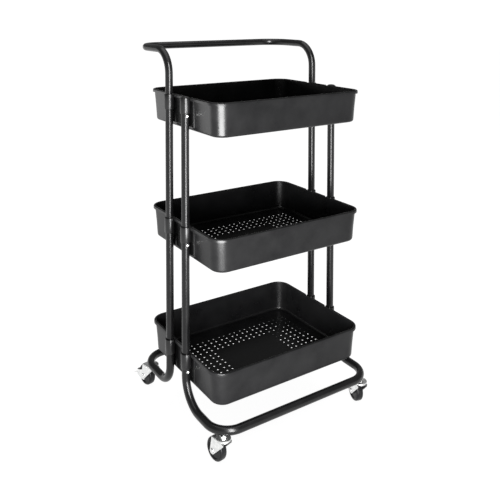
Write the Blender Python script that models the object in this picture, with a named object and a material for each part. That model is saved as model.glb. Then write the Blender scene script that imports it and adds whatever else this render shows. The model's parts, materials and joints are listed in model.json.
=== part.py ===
"""Three-tier rolling utility cart with a push handle, modelled in metres.

+X runs along the long side of the trays, +Y points to the handle side (rear)
and +Z points up. The origin lies on the floor, under the middle of the trays.
"""
import math

import bmesh
import bpy
from mathutils import Matrix, Vector

# ---------------------------------------------------------------- dimensions
GAP = 0.0003                    # clearance between pieces that touch

# heights above the floor
RIM_Z = {"top": 0.7747, "middle": 0.4820, "bottom": 0.1898}
BASE_Z = 0.0751                 # centre line of the two base tubes
HANDLE_Z = 0.8776               # centre line of the handle bar

# trays: pressed sheet with an outward lip that is turned down
TRAY_X = 0.2100                 # half length over the lip
TRAY_Y = 0.1650                 # half width over the lip
TRAY_CORNER = 0.0360            # plan radius of the lip
LIP_OUT = 0.0050                # overhang of the lip beyond the wall
LIP_DROP = 0.0066               # height of the turned-down edge
SHEET = 0.0008                  # sheet thickness
WALL_TAPER = 0.0038             # how far the wall leans in, top to bottom
WALL_LOW = 0.0705               # depth at which the bottom radius begins
TRAY_DEPTH = 0.0765             # rim to underside of the floor
CORNER_STEPS = 5

# tubes
POST_X = 0.2154                 # post centre lines from the middle plane
POST_Y = 0.0390
TUBE_R = 0.0091                 # outer radius of posts and handle
TUBE_WALL = 0.0011
BASE_R = 0.0095                 # outer radius of the base tubes
BASE_WALL = 0.0012
SPIGOT_R = 0.0077               # reduced end that plugs into the tube below
SPIGOT_LEN = 0.0520
TUBE_SIDES = 12
BEND_STEPS = 4
HANDLE_Y = 0.2060               # handle bar behind the middle plane
HANDLE_BEND = 0.0575            # radius of the backward bend
HANDLE_CORNER = 0.0555          # plan radius of the handle corners
BASE_Y = 0.1850                 # base bars in front of and behind the middle
BASE_BEND_FRONT = 0.0620
BASE_BEND_REAR = 0.0460
BASE_CORNER = 0.0512

# sleeve brackets on the short sides of the trays
SLEEVE_R = 0.0118
SLEEVE_LEN = 0.0350
PLATE_X = 0.2055                # outer face of the bracket plate
PLATE_HALF_Y = 0.0600
PLATE_TOP = 0.0075              # below the rim
PLATE_LOW = 0.0670

# joint screws
SCREW_DROP = 0.0415             # below the rim
SCREW_HEAD_R = 0.0040
SCREW_HEAD_H = 0.0024
SCREW_R = 0.0020
SCREW_LEN = 0.0052

# swivel casters; local +X is the trailing direction, z = 0 under the tube
STEM_R = 0.0040
STEM_UP = 0.0070
NUT_H = 0.0040
NUT_R = 0.0078
RACE_R = 0.0168
RACE_H = 0.0042
KINGPIN_R = 0.0030
CROWN_R = 0.0155
CROWN_H = 0.0022
FORK_INNER = 0.0119             # half distance between the side plates
FORK_SHEET = 0.0015
FORK_REAR = 0.0243              # how far the crown and side plates reach behind the stem
TRAIL = 0.0220
WHEEL_R = 0.0254
WHEEL_HALF = 0.0095
AXLE_R = 0.0030
WHEEL_SIDES = 18
CASTERS = {                     # side of x, end of y, trailing angle in degrees
    "front_left": (-1, -1, 98.0),
    "front_right": (1, -1, 74.0),
    "rear_left": (-1, 1, 100.0),
    "rear_right": (1, 1, 84.0),
}

# brake pedals of the rear casters: a strip bent round the wheel
STEM_ANGLE = {-1: 49.0, 1: 45.0}  # where a stem sits on its corner bend, front and rear
LEVER_INNER = 0.0102            # brake lever arms, between wheel and side plate
LEVER_SHEET = 0.0011
LEVER_GAP = 0.0006              # left between bridge and tread when pressed
BRIDGE_SHEET = 0.0014
TAB_LENGTH = 0.0175
LEVER_LIFT = 5.0                # degrees by which the lever stands off when free
LEVER_PIN_R = 0.0015
LEVER_PIN = (0.0105, -0.0145)   # pin through the fork: along the trail, height
SIDES = {"left": -1, "right": 1}
ENDS = {"front": -1, "rear": 1}


# ------------------------------------------------------------------ helpers
def clear_scene():
    for obj in list(bpy.data.objects):
        bpy.data.objects.remove(obj, do_unlink=True)


def material(name, colour, roughness, metallic):
    mat = bpy.data.materials.new(name)
    mat.use_nodes = True
    shader = mat.node_tree.nodes["Principled BSDF"]
    shader.inputs["Base Color"].default_value = (*colour, 1.0)
    shader.inputs["Roughness"].default_value = roughness
    shader.inputs["Metallic"].default_value = metallic
    return mat


def finish(name, bm, mat, smooth_angle=40.0):
    """Turn a bmesh into a named object with outward faces."""
    bmesh.ops.recalc_face_normals(bm, faces=bm.faces)
    mesh = bpy.data.meshes.new(name)
    bm.to_mesh(mesh)
    bm.free()
    mesh.materials.append(mat)
    mesh.shade_smooth()
    mesh.set_sharp_from_angle(angle=math.radians(smooth_angle))
    obj = bpy.data.objects.new(name, mesh)
    bpy.context.scene.collection.objects.link(obj)
    return obj


def join_loops(bm, low, high):
    """Quads between two vertex loops of equal count."""
    count = len(low)
    for i in range(count):
        j = (i + 1) % count
        bm.faces.new((low[i], low[j], high[j], high[i]))


def turned(name, profile, sides, mat):
    """Body of revolution about z: profile is a closed list of (radius, z)."""
    bm = bmesh.new()
    rings = []
    for radius, z in profile:
        if radius == 0.0:
            rings.append([bm.verts.new((0.0, 0.0, z))])
            continue
        ring = []
        for k in range(sides):
            a = 2.0 * math.pi * k / sides
            ring.append(bm.verts.new((radius * math.cos(a), radius * math.sin(a), z)))
        rings.append(ring)
    for first, second in zip(rings, rings[1:] + rings[:1]):
        if len(first) == 1 and len(second) == 1:
            continue
        for k in range(sides):
            n = (k + 1) % sides
            if len(first) == 1:
                bm.faces.new((first[0], second[k], second[n]))
            elif len(second) == 1:
                bm.faces.new((first[k], first[n], second[0]))
            else:
                bm.faces.new((first[k], first[n], second[n], second[k]))
    return finish(name, bm, mat)


def prism(name, outline, low, high, axis, mat):
    """Flat outline pushed from low to high along the given axis (0, 1 or 2)."""
    bm = bmesh.new()
    loops = []
    for depth in (low, high):
        ring = []
        for u, v in outline:
            point = [u, v]
            point.insert(axis, depth)
            ring.append(bm.verts.new(point))
        loops.append(ring)
    bm.faces.new(loops[0])
    bm.faces.new(loops[1][::-1])
    join_loops(bm, loops[0], loops[1])
    return finish(name, bm, mat, 30.0)


def circle(radius, sides, centre=(0.0, 0.0), start=0.0):
    points = []
    for k in range(sides):
        a = start + 2.0 * math.pi * k / sides
        points.append((centre[0] + radius * math.cos(a), centre[1] + radius * math.sin(a)))
    return points


def swept_tube(name, stations, sides, mat):
    """Hollow tube: stations are (point, outer radius, inner radius), both ends open."""
    points = [Vector(s[0]) for s in stations]
    bm = bmesh.new()
    normal = Vector((0.0, 1.0, 0.0))
    outer = []
    inner = []
    tangent = (points[-1] - points[0]).normalized()
    for i, (_, r_out, r_in) in enumerate(stations):
        before = next((points[k] for k in range(i - 1, -1, -1)
                       if (points[k] - points[i]).length > 1e-7), None)
        after = next((points[k] for k in range(i + 1, len(points))
                      if (points[k] - points[i]).length > 1e-7), None)
        if before is None:
            tangent = (after - points[i]).normalized()
        elif after is None:
            tangent = (points[i] - before).normalized()
        else:
            tangent = ((points[i] - before).normalized()
                       + (after - points[i]).normalized()).normalized()
        normal = (normal - tangent * normal.dot(tangent)).normalized()
        side = tangent.cross(normal)
        for radius, rings in ((r_out, outer), (r_in, inner)):
            ring = []
            for k in range(sides):
                a = 2.0 * math.pi * k / sides
                offset = normal * math.cos(a) + side * math.sin(a)
                ring.append(bm.verts.new(points[i] + offset * radius))
            rings.append(ring)
    for rings in (outer, inner):
        for first, second in zip(rings, rings[1:]):
            join_loops(bm, first, second)
    join_loops(bm, outer[0], inner[0])
    join_loops(bm, outer[-1], inner[-1])
    return finish(name, bm, mat, 35.0)


def cut(target, cutters):
    """Boolean difference with each cutter, applied in order."""
    for cutter in cutters:
        mod = target.modifiers.new("cut", "BOOLEAN")
        mod.operation = "DIFFERENCE"
        mod.solver = "EXACT"
        mod.object = cutter
        cutter.hide_render = True
        cutter.display_type = "WIRE"


def unite(target, others):
    """Boolean union, evaluated at once so that the helpers can be removed."""
    for other in others:
        mod = target.modifiers.new("join", "BOOLEAN")
        mod.operation = "UNION"
        mod.solver = "EXACT"
        mod.object = other
    apply_modifiers(target)
    for other in others:
        bpy.data.objects.remove(other, do_unlink=True)


def apply_modifiers(obj):
    """Bake the modifiers of obj into its own mesh."""
    bpy.context.view_layer.update()
    graph = bpy.context.evaluated_depsgraph_get()
    baked = bpy.data.meshes.new_from_object(obj.evaluated_get(graph))
    obj.modifiers.clear()
    obj.data = baked


def cut_now(target, cutters):
    """Boolean difference that is baked in; the cutters are removed."""
    cut(target, cutters)
    apply_modifiers(target)
    for cutter in cutters:
        bpy.data.objects.remove(cutter, do_unlink=True)


# --------------------------------------------------------------- materials
clear_scene()
COAT = material("black_powder_coat", (0.012, 0.012, 0.013), 0.32, 0.0)
ZINC = material("bright_zinc", (0.78, 0.78, 0.80), 0.22, 1.0)
TYRE = material("dark_plastic_wheel", (0.030, 0.030, 0.032), 0.38, 0.0)
PLUG = material("black_plastic_cap", (0.016, 0.016, 0.017), 0.42, 0.0)


# ------------------------------------------------------------------- trays
def plan_loop(inset, z, corner):
    """Rounded rectangle, inset from the outside of the lip."""
    half_x = TRAY_X - inset
    half_y = TRAY_Y - inset
    points = []
    for quarter, (sx, sy) in enumerate(((1, 1), (-1, 1), (-1, -1), (1, -1))):
        for step in range(CORNER_STEPS + 1):
            a = 0.5 * math.pi * (quarter + step / CORNER_STEPS)
            x = sx * (half_x - corner) + corner * math.cos(a)
            y = sy * (half_y - corner) + corner * math.sin(a)
            points.append((x, y, z))
    return points


def wall_inset(depth):
    """Inset of the outer wall face at a depth below the rim."""
    return LIP_OUT + WALL_TAPER * depth / WALL_LOW


def make_tray(tier):
    rim = RIM_Z[tier]
    round_in = TRAY_DEPTH - WALL_LOW
    low = wall_inset(WALL_LOW)
    t = SHEET
    section = [                                     # inset, depth, plan radius
        (low + round_in, TRAY_DEPTH, TRAY_CORNER - 0.0120),
        (low + 0.3 * round_in, WALL_LOW + 0.7 * round_in, TRAY_CORNER - 0.0078),
        (low, WALL_LOW, TRAY_CORNER - 0.0060),
        (wall_inset(t), t, TRAY_CORNER - LIP_OUT),
        (t, t, TRAY_CORNER - t),
        (t, LIP_DROP, TRAY_CORNER - t),
        (0.0, LIP_DROP, TRAY_CORNER),
        (0.0, 0.0010, TRAY_CORNER),
        (0.0014, -0.0006, TRAY_CORNER - 0.0014),
        (wall_inset(0.0) + t, 0.0, TRAY_CORNER - LIP_OUT - t),
        (low + t, WALL_LOW, TRAY_CORNER - 0.0060 - t),
        (low + 0.3 * round_in + t, WALL_LOW + 0.7 * round_in - 0.7 * t,
         TRAY_CORNER - 0.0078 - t),
        (low + round_in, TRAY_DEPTH - t, TRAY_CORNER - 0.0120),
    ]
    bm = bmesh.new()
    loops = []
    for inset, depth, corner in section:
        loops.append([bm.verts.new(p) for p in plan_loop(inset, rim - depth, corner)])
    for first, second in zip(loops, loops[1:]):
        join_loops(bm, first, second)
    bm.faces.new(loops[0])
    bm.faces.new(loops[-1][::-1])
    tray = finish("tray_" + tier, bm, COAT, 30.0)
    cutters = []
    flat = TRAY_X - wall_inset(0.0) + 0.0004        # the notch stops at the wall
    for sx in SIDES.values():
        for sy in ENDS.values():
            outline = []
            for x, y in circle(SLEEVE_R + GAP, TUBE_SIDES):
                outline.append((sx * max(POST_X + x, flat), sy * POST_Y + y))
            cutters.append(prism("lip_notch", outline, rim - 0.0070, rim + 0.0030, 2, COAT))
    cut_now(tray, cutters)
    return tray


# ------------------------------------------------------------ sleeve brackets
def make_bracket(tier, side):
    """Plate between tray wall and posts, with a sleeve round each post."""
    rim = RIM_Z[tier]
    sx = SIDES[side]
    clear = GAP + 0.0001
    top_x = TRAY_X - wall_inset(PLATE_TOP) + clear
    low_x = TRAY_X - wall_inset(PLATE_LOW) + clear
    wedge = [
        (sx * top_x, rim - PLATE_TOP),
        (sx * PLATE_X, rim - PLATE_TOP),
        (sx * PLATE_X, rim - PLATE_LOW + 0.0030),
        (sx * (low_x + 0.0012), rim - PLATE_LOW),
        (sx * low_x, rim - PLATE_LOW),
    ]
    plate = prism("bracket_%s_%s" % (tier, side), wedge, -PLATE_HALF_Y, PLATE_HALF_Y, 1, COAT)
    sleeves = []
    bores = []
    for sy in ENDS.values():
        centre = (sx * POST_X, sy * POST_Y)
        near = TRAY_X - wall_inset(0.0) + clear     # the sleeve is flat at the wall
        outline = []
        for x, y in circle(SLEEVE_R, TUBE_SIDES, start=0.5 * math.pi):
            outline.append((centre[0] + sx * max(sx * x, near - POST_X), centre[1] + y))
        sleeves.append(prism("sleeve", outline, rim - 0.0010 - SLEEVE_LEN, rim - 0.0010, 2, COAT))
        bore = circle(TUBE_R + GAP, TUBE_SIDES, centre, 0.5 * math.pi)
        bores.append(prism("bore", bore, rim - 0.0800, rim + 0.0100, 2, COAT))
    unite(plate, sleeves)
    cut_now(plate, bores)
    return plate


# -------------------------------------------------------------------- tubes
def screw_hole(x, y_side, z, radius=SCREW_R + GAP):
    """Round cutter that reaches the tube's hollow from its outer face."""
    low = y_side * (POST_Y + 0.0035)
    high = y_side * (POST_Y + BASE_R + 0.0020)
    return prism("screw_hole", circle(radius, 8, (x, z)), low, high, 1, COAT)


def spigot(x, y, shoulder, going_up):
    """Stations of the reduced lower end of a tube, from its tip upwards."""
    tip = shoulder - SPIGOT_LEN
    wall = 0.0010
    stations = [
        ((x, y, tip), SPIGOT_R, SPIGOT_R - wall),
        ((x, y, shoulder), SPIGOT_R, SPIGOT_R - wall),
        ((x, y, shoulder), TUBE_R, SPIGOT_R - wall),
        ((x, y, shoulder + 0.0030), TUBE_R, TUBE_R - TUBE_WALL),
    ]
    return stations if going_up else stations[::-1]


def quarter_bend(centre, start, end, radius):
    """Points of a quarter turn from centre+start*radius to centre+end*radius."""
    points = []
    for step in range(BEND_STEPS + 1):
        a = 0.5 * math.pi * step / BEND_STEPS
        points.append(centre + start * (radius * math.cos(a)) + end * (radius * math.sin(a)))
    return points


def bent_frame(leg_y, bar_y, bar_z, bend, corner, upward):
    """Left half of a U-shaped tube: leg, bend, corner, up to the middle plane."""
    sign_y = 1.0 if bar_y > leg_y else -1.0
    sign_z = 1.0 if upward else -1.0
    ex = Vector((1.0, 0.0, 0.0))
    ey = Vector((0.0, sign_y, 0.0))
    ez = Vector((0.0, 0.0, sign_z))
    first = Vector((-POST_X, leg_y, bar_z)) + ey * bend - ez * bend
    second = Vector((-POST_X, bar_y, bar_z)) + ex * corner - ey * corner
    return quarter_bend(first, -ey, ez, bend) + quarter_bend(second, -ex, ey, corner)


def mirrored(points):
    return [Vector((-p.x, p.y, p.z)) for p in reversed(points)]


def make_handle():
    rim = RIM_Z["top"]
    half = bent_frame(POST_Y, HANDLE_Y, HANDLE_Z, HANDLE_BEND, HANDLE_CORNER, True)
    stations = spigot(-POST_X, POST_Y, rim - 0.0007, True)
    for point in half + mirrored(half):
        stations.append((point, TUBE_R, TUBE_R - TUBE_WALL))
    stations += spigot(POST_X, POST_Y, rim - 0.0007, False)
    handle = swept_tube("handle_tube", stations, TUBE_SIDES, COAT)
    holes = [screw_hole(sx * POST_X, 1, rim - SCREW_DROP) for sx in SIDES.values()]
    cut_now(handle, holes)
    return handle


def caster_point(sx, sy):
    """Where a caster stem meets the base tube: on the corner bend."""
    a = math.radians(STEM_ANGLE[sy])
    x = POST_X - BASE_CORNER + BASE_CORNER * math.cos(a)
    y = BASE_Y - BASE_CORNER + BASE_CORNER * math.sin(a)
    return Vector((sx * x, sy * y, BASE_Z - BASE_R))


def make_base(end):
    rim = RIM_Z["bottom"]
    sy = ENDS[end]
    bend = BASE_BEND_FRONT if end == "front" else BASE_BEND_REAR
    half = bent_frame(sy * POST_Y, sy * BASE_Y, BASE_Z, bend, BASE_CORNER, False)
    top = rim - 0.0010
    low = max(rim - 0.0800, BASE_Z + bend + 0.0030)
    stations = []
    for z in (top, low):
        stations.append(((-POST_X, sy * POST_Y, z), TUBE_R, TUBE_R - TUBE_WALL))
    for point in half + mirrored(half):
        stations.append((point, BASE_R, BASE_R - BASE_WALL))
    for z in (low, top):
        stations.append(((POST_X, sy * POST_Y, z), TUBE_R, TUBE_R - TUBE_WALL))
    base = swept_tube("base_tube_" + end, stations, TUBE_SIDES, COAT)
    cutters = []
    for sx in SIDES.values():
        cutters.append(screw_hole(sx * POST_X, sy, rim - SCREW_DROP))
        spot = caster_point(sx, sy)
        cutters.append(prism("stem_hole", circle(STEM_R + GAP, 12, (spot.x, spot.y)),
                             spot.z - 0.0030, spot.z + 0.0060, 2, COAT))
    cut_now(base, cutters)
    return base


def make_post(level, end, side):
    """Straight post tube that plugs into the tube below it."""
    low_rim = RIM_Z["bottom" if level == "lower" else "middle"]
    high_rim = RIM_Z["middle" if level == "lower" else "top"]
    x = SIDES[side] * POST_X
    y = ENDS[end] * POST_Y
    stations = spigot(x, y, low_rim - 0.0007, True)
    stations.append(((x, y, high_rim - 0.0010), TUBE_R, TUBE_R - TUBE_WALL))
    post = swept_tube("post_%s_%s_%s" % (level, end, side), stations, TUBE_SIDES, COAT)
    holes = [screw_hole(x, ENDS[end], rim - SCREW_DROP) for rim in (low_rim, high_rim)]
    cut_now(post, holes)
    return post


def make_cap(side):
    """Plug that closes the top of a front post."""
    rise = 0.0022
    plug = SPIGOT_R
    profile = [
        (0.0, rise), (0.0055, rise - 0.0004), (0.0085, rise - 0.0013), (TUBE_R, 0.0),
        (TUBE_R, -0.0007), (plug, -0.0007), (plug, -0.0120), (0.0, -0.0120),
    ]
    cap = turned("post_cap_" + side, profile, TUBE_SIDES, PLUG)
    cap.location = (SIDES[side] * POST_X, -POST_Y, RIM_Z["top"])
    cap.rotation_euler = (0.0, 0.0, 0.5 * math.pi)
    return cap


def make_screw(tier, end, side):
    """Pan-head screw across a tube joint; its head faces away from the middle."""
    head = SCREW_HEAD_R
    profile = [
        (0.0, SCREW_HEAD_H), (0.55 * head, 0.93 * SCREW_HEAD_H), (0.9 * head, 0.55 * SCREW_HEAD_H),
        (head, 0.0), (SCREW_R, 0.0), (SCREW_R, -SCREW_LEN), (0.0, -SCREW_LEN),
    ]
    screw = turned("screw_%s_%s_%s" % (tier, end, side), profile, 8, ZINC)
    sy = ENDS[end]
    face = sy * (POST_Y + TUBE_R + GAP)
    screw.location = (SIDES[side] * POST_X, face, RIM_Z[tier] - SCREW_DROP)
    screw.rotation_euler = (-sy * 0.5 * math.pi, 0.0, 0.0)
    return screw


# ------------------------------------------------------------------ casters
def make_caster(name, spec):
    sx, sy, angle = spec
    spot = caster_point(sx, sy)
    pivot = bpy.data.objects.new("caster_%s_pivot" % name, None)
    pivot.location = spot
    pivot.rotation_euler = (0.0, 0.0, math.radians(angle))
    bpy.context.scene.collection.objects.link(pivot)

    race_top = -GAP - NUT_H - GAP
    race_low = race_top - RACE_H
    crown_top = race_low - GAP
    crown_low = crown_top - CROWN_H
    pin_low = crown_low - 0.0022
    stem = turned("caster_stem_" + name, [
        (0.0, STEM_UP), (STEM_R - 0.0008, STEM_UP), (STEM_R, STEM_UP - 0.0008),
        (STEM_R, race_top), (0.0115, race_top), (RACE_R - 0.0012, race_top - 0.0016),
        (RACE_R, race_low + 0.0012), (RACE_R - 0.0006, race_low), (KINGPIN_R, race_low),
        (KINGPIN_R, crown_low - GAP), (0.0052, crown_low - GAP), (0.0046, pin_low),
        (0.0, pin_low),
    ], 12, ZINC)
    nut = prism("caster_nut_" + name, circle(NUT_R, 6), -GAP - NUT_H, -GAP, 2, ZINC)
    cut_now(nut, [prism("nut_bore", circle(STEM_R + GAP, 12), -0.0100, 0.0100, 2, ZINC)])

    axle_z = -(BASE_Z - BASE_R) + WHEEL_R
    foot = axle_z - 0.0082
    plate = [
        (-0.0140, crown_low + 0.0004), (-0.0140, -0.0150), (0.0180, foot + 0.0016),
        (0.0205, foot), (0.0262, foot), (0.0298, foot + 0.0029), (0.0303, foot + 0.0084),
        (FORK_REAR, crown_low + 0.0004),
    ]
    crown = []
    for step in range(11):
        a = math.radians(65.0 + 23.0 * step)
        crown.append((CROWN_R * math.cos(a), CROWN_R * math.sin(a)))
    crown += [(FORK_REAR, -FORK_INNER - FORK_SHEET), (FORK_REAR, FORK_INNER + FORK_SHEET)]
    fork = prism("caster_fork_" + name, crown, crown_low, crown_top, 2, ZINC)
    cheeks = []
    for side in (-1, 1):
        low = side * FORK_INNER
        high = side * (FORK_INNER + FORK_SHEET)
        cheeks.append(prism("cheek", plate, low, high, 1, ZINC))
    unite(fork, cheeks)
    holes = [prism("pin_hole", circle(KINGPIN_R + GAP, 12), -0.0300, 0.0100, 2, ZINC)]
    holes.append(prism("axle_hole", circle(AXLE_R + GAP, 12, (TRAIL, axle_z)),
                       -0.0200, 0.0200, 1, ZINC))
    if sy > 0:
        holes.append(prism("pedal_pin_hole", circle(LEVER_PIN_R + GAP, 8, LEVER_PIN),
                           -0.0200, 0.0200, 1, ZINC))
    cut_now(fork, holes)

    half = WHEEL_HALF
    wheel = turned("caster_wheel_" + name, [
        (AXLE_R + GAP, half), (0.0085, half), (0.0095, half - 0.0022), (0.0180, half - 0.0022),
        (0.0196, half - 0.0004), (0.0235, half - 0.0012), (WHEEL_R, half - 0.0050),
        (WHEEL_R, -half + 0.0050), (0.0235, -half + 0.0012), (0.0196, -half + 0.0004),
        (0.0180, -half + 0.0022), (0.0095, -half + 0.0022), (0.0085, -half), (AXLE_R + GAP, -half),
    ], WHEEL_SIDES, TYRE)
    wheel.location = (TRAIL, 0.0, axle_z)
    wheel.rotation_euler = (0.5 * math.pi, 0.0, 0.0)

    reach = FORK_INNER + FORK_SHEET + GAP
    axle = turned("caster_axle_" + name, [
        (0.0, reach + 0.0022), (0.0042, reach + 0.0018), (0.0052, reach), (AXLE_R, reach),
        (AXLE_R, -reach), (0.0052, -reach), (0.0042, -reach - 0.0018), (0.0, -reach - 0.0022),
    ], 12, ZINC)
    axle.location = (TRAIL, 0.0, axle_z)
    axle.rotation_euler = (0.5 * math.pi, 0.0, 0.0)

    for piece in (stem, nut, fork, wheel, axle):
        piece.parent = pivot
    return pivot


def make_lever(name, pivot):
    """Brake lever: two arms beside the wheel, a bridge behind the tread and a foot tab."""
    axle_z = -(BASE_Z - BASE_R) + WHEEL_R
    near = WHEEL_R + LEVER_GAP
    far = near + BRIDGE_SHEET

    def on_arc(radius, degrees):
        a = math.radians(degrees)
        return (TRAIL + radius * math.cos(a), axle_z + radius * math.sin(a))

    def about_pin(outline):
        return [(u - LEVER_PIN[0], v - LEVER_PIN[1]) for u, v in outline]

    slope = math.radians(-30.7)
    root = on_arc(far, -12.0)
    tip = (root[0] + TAB_LENGTH * math.cos(slope), root[1] + TAB_LENGTH * math.sin(slope))
    under = (BRIDGE_SHEET * math.sin(slope), -BRIDGE_SHEET * math.cos(slope))
    bridge = [on_arc(far, 6.0), on_arc(far, -3.0), root, tip, (tip[0] + under[0], tip[1] + under[1])]
    bridge += [on_arc(far, degrees) for degrees in (-15.5, -22.0, -29.0)]
    bridge += [on_arc(near, degrees) for degrees in (-29.0, -20.0, -11.0, -2.0, 6.0)]
    half = LEVER_INNER + 0.6 * LEVER_SHEET
    lever = prism("brake_lever_" + name, about_pin(bridge), -half, half, 1, ZINC)
    rim = far - 0.0004
    arm = [
        (0.0068, -0.0135), (0.0092, -0.0123), (0.0132, -0.0128), (0.0240, -0.0270),
        (0.0380, -0.0352), on_arc(rim, 4.0), on_arc(rim, -6.0), on_arc(rim, -16.0),
        on_arc(rim, -27.0), (0.0370, -0.0543), (0.0290, -0.0555), (0.0170, -0.0525),
        (0.0170, -0.0500), (0.0235, -0.0475), (0.0275, -0.0440), (0.0275, -0.0370),
        (0.0200, -0.0270), (0.0075, -0.0165),
    ]
    joined = []
    for side in (-1, 1):
        low = side * LEVER_INNER
        high = side * (LEVER_INNER + LEVER_SHEET)
        joined.append(prism("arm", about_pin(arm), low, high, 1, ZINC))
    reach = FORK_INNER + FORK_SHEET + 0.0008
    joined.append(prism("lever_pin", circle(LEVER_PIN_R, 8), -reach, reach, 1, ZINC))
    unite(lever, joined)
    lever.data.transform(Matrix.Rotation(-math.radians(LEVER_LIFT), 4, "Y"))
    lever.location = (LEVER_PIN[0], 0.0, LEVER_PIN[1])
    lever.parent = pivot
    return lever


# -------------------------------------------------------------------- build
for tier_name in RIM_Z:
    make_tray(tier_name)
    for side_name in SIDES:
        make_bracket(tier_name, side_name)
        for end_name in ENDS:
            make_screw(tier_name, end_name, side_name)
make_handle()
for end_name in ENDS:
    make_base(end_name)
    for side_name in SIDES:
        make_post("lower", end_name, side_name)
        make_post("upper", end_name, side_name)
for side_name in SIDES:
    make_cap(side_name)
for caster_name, caster_spec in CASTERS.items():
    pivot_empty = make_caster(caster_name, caster_spec)
    if caster_name.startswith("rear"):
        make_lever(caster_name, pivot_empty)
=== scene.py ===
"""Three-tier rolling utility cart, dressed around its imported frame.

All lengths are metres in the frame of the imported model: +X along the long side
of the trays, +Y towards the push handle, +Z up, floor at z = 0.
"""
from __future__ import annotations

import json
import logging
import math
from dataclasses import dataclass, field
from enum import Enum
from typing import Iterable, Iterator, Sequence

import bmesh
import bpy
from mathutils import Matrix, Vector
from mathutils.geometry import delaunay_2d_cdt

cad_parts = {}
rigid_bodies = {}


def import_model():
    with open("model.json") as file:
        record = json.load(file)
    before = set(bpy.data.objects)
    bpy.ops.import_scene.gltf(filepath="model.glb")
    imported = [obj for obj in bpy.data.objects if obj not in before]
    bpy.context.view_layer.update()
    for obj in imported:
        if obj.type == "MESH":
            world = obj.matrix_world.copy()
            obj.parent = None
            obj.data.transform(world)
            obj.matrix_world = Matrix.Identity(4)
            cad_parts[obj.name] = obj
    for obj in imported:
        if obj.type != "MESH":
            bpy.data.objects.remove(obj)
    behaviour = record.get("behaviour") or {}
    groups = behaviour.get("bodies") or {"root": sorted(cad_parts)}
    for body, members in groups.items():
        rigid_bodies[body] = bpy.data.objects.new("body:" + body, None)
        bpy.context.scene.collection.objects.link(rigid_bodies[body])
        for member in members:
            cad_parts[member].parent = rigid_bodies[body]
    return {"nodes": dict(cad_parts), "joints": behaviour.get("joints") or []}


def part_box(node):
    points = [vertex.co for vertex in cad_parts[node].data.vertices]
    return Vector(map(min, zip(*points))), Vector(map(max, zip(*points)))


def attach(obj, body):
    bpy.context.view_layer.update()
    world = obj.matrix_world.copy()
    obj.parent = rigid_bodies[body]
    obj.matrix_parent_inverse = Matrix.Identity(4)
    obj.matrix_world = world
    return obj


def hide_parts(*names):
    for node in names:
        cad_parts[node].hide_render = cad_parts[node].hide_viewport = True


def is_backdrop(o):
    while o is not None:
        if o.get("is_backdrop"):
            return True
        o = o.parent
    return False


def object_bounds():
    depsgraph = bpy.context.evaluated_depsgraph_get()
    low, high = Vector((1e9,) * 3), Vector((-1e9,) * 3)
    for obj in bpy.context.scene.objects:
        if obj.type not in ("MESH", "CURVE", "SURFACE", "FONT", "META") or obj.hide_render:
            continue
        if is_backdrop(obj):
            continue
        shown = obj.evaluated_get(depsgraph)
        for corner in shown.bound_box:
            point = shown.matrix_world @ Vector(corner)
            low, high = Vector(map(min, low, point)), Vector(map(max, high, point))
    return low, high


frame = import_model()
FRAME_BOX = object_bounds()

LOG = logging.getLogger("cart")
ROOT_BODY = "frame"
RIM_ROLL = 0.0006
SHARPEST = 0.35
SAME_POINT = 1e-7
Plan = tuple[float, float]
Point = tuple[float, float, float]
Ring = list[bmesh.types.BMVert]
Socket = bpy.types.NodeSocket


class Slot(Enum):
    """Material slots of the record."""

    COAT = "powder_coat"
    ZINC = "bright_zinc"
    WHEEL = "wheel_plastic"
    CAP = "cap_plastic"


class Tier(Enum):
    """The three trays, from the handle down."""

    TOP = "top"
    MIDDLE = "middle"
    BOTTOM = "bottom"


class Level(Enum):
    """The two runs of straight posts."""

    LOWER = "lower"
    UPPER = "upper"


class Sign(Enum):
    """Which side of a middle plane; the value is the sign of the coordinate."""

    @property
    def word(self) -> str:
        """Name used in the frame's node names."""
        return self.name.lower()


class Side(Sign):
    """Left is -X, right is +X."""

    LEFT = -1
    RIGHT = 1


class End(Sign):
    """Front is -Y, rear is the handle side, +Y."""

    FRONT = -1
    REAR = 1


def middle(node: str) -> Plan:
    """Centre of a frame node in plan."""
    low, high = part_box(node)
    return 0.5 * (low.x + high.x), 0.5 * (low.y + high.y)


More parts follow.
